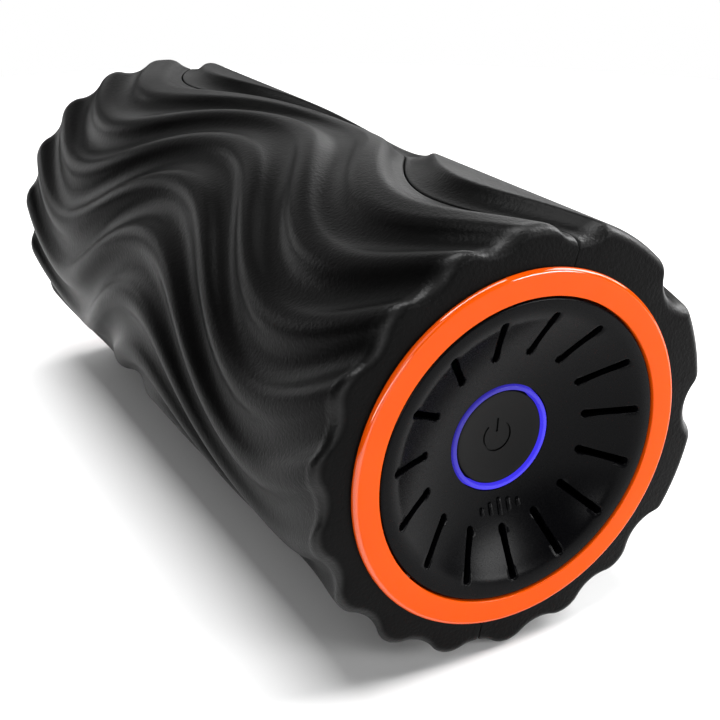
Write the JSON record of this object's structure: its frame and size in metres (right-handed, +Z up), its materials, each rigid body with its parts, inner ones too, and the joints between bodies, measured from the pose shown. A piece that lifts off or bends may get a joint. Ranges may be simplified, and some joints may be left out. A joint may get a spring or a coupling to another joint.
{
  "type": "vibrating foam roller",
  "caption": "Vibrating massage roller: a foam sleeve with wavy ridges round a rigid tube, coloured end rings, dished slotted end caps, a centre power button in a light ring, and a motor inside.",
  "frame": {"origin": "centre of the roller, on its axis, midway between the faces of the two end rings", "axes": "+Y along the roller's axis from the end with the power button to the end with the charging socket, +Z up"},
  "size_m": [0.1513, 0.32, 0.1512],
  "materials": {
    "foam": "satin, fine moulded grain",
    "orange_plastic": "satin gloss",
    "black_plastic": "satin gloss",
    "button_plastic": "satin",
    "light_plastic": "translucent, lit",
    "core_plastic": "moulded",
    "steel": "plain",
    "copper": "enamelled copper",
    "brass": "plain",
    "circuit_board": "solder mask",
    "cell_wrap": "shrink wrap",
    "magnet": "sintered",
    "red_wire": "insulated wire",
    "black_wire": "insulated wire"
  },
  "bodies": {
    "roller": {"foam_shell_right": "foam", "foam_shell_left": "foam", "core_tube": "core_plastic", "front_ring": "orange_plastic", "rear_ring": "orange_plastic", "front_cap": "black_plastic", "rear_cap": "black_plastic", "light_ring": "light_plastic", "button_spring": "steel", "led_board": "circuit_board", "switch_body": "core_plastic", "led_board_screw_1": "steel", "led_board_screw_2": "steel", "led_board_screw_3": "steel", "front_cap_screw_1": "steel", "front_cap_screw_2": "steel", "front_cap_screw_3": "steel", "front_cap_screw_4": "steel", "rear_cap_screw_1": "steel", "rear_cap_screw_2": "steel", "rear_cap_screw_3": "steel", "rear_cap_screw_4": "steel", "charge_socket": "black_plastic", "socket_nut": "brass", "chassis_lower": "core_plastic", "chassis_upper": "core_plastic", "chassis_screw_1": "steel", "chassis_screw_2": "steel", "chassis_screw_3": "steel", "chassis_screw_4": "steel", "motor_can": "steel", "motor_end_bell": "black_plastic", "motor_bush_front": "brass", "motor_bush_rear": "brass", "magnet_left": "magnet", "magnet_right": "magnet", "battery_cell_1": "cell_wrap", "battery_cell_2": "cell_wrap", "battery_cell_3": "cell_wrap", "battery_cover": "core_plastic", "main_board": "circuit_board", "board_screw_1": "steel", "board_screw_2": "steel", "motor_lead_red": "red_wire", "motor_lead_black": "black_wire", "battery_lead": "red_wire", "charge_lead": "black_wire", "led_cable": "black_wire"},
    "button": {"power_button": "button_plastic"},
    "plunger": {"switch_plunger": "black_plastic"},
    "rotor": {"motor_shaft": "steel", "armature": "copper", "commutator": "copper", "eccentric_weight_front": "brass", "eccentric_weight_rear": "brass", "weight_screw_front": "steel", "weight_screw_rear": "steel"}
  },
  "joints": [
    {"name": "button_press", "type": "slide", "parent": "roller", "child": "button", "axis": [0, 1, 0], "range_m": [0, 0.0012], "deforming": ["button_spring"]},
    {"name": "plunger_press", "type": "slide", "parent": "roller", "child": "plunger", "axis": [0, 1, 0], "range_m": [0, 0.0012]},
    {"name": "rotor_spin", "type": "hinge", "parent": "roller", "child": "rotor", "pos_m": [0, 0, 0], "axis": [0, 1, 0], "continuous": true}
  ],
  "couplings": [
    {"joint": "plunger_press", "follows": "button_press", "ratio": 1}
  ]
}
